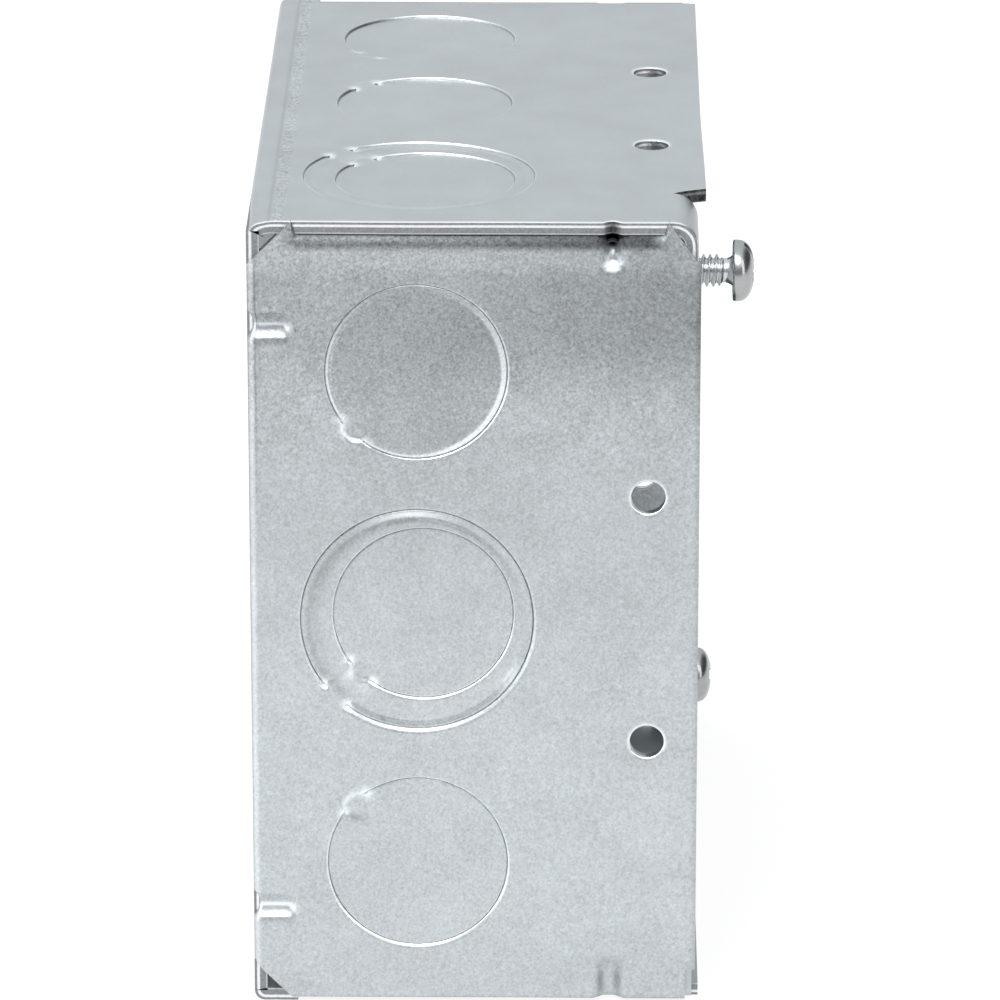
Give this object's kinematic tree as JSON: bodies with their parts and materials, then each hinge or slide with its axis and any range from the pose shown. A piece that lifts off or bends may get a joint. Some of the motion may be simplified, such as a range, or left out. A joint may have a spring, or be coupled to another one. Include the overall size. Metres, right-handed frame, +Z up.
{
  "type": "square electrical box",
  "caption": "Deep square outlet box folded from zinc coated sheet steel, with pressed knockouts in its walls and back, open at the front, with cover screws in its ears.",
  "frame": {"origin": "centre of the back's outer face", "axes": "+X out of the open mouth, +Z up as the box stands on one of its side walls, +Y from the near wall to the far wall"},
  "size_m": [0.0613, 0.1016, 0.1016],
  "materials": {
    "galvanised_sheet": "zinc coated sheet steel, mottled",
    "screw_zinc": "bright zinc plate"
  },
  "bodies": {
    "box": {"box": "galvanised_sheet"},
    "upper_screw": {"upper_cover_screw": "screw_zinc"},
    "lower_screw": {"lower_cover_screw": "screw_zinc"}
  },
  "joints": [
    {"name": "upper_screw_travel", "type": "slide", "parent": "box", "child": "upper_screw", "axis": [1, 0, 0], "range_m": [-0.00397, 0.00318]},
    {"name": "lower_screw_travel", "type": "slide", "parent": "box", "child": "lower_screw", "axis": [1, 0, 0], "range_m": [-0.00079, 0.00635]}
  ]
}
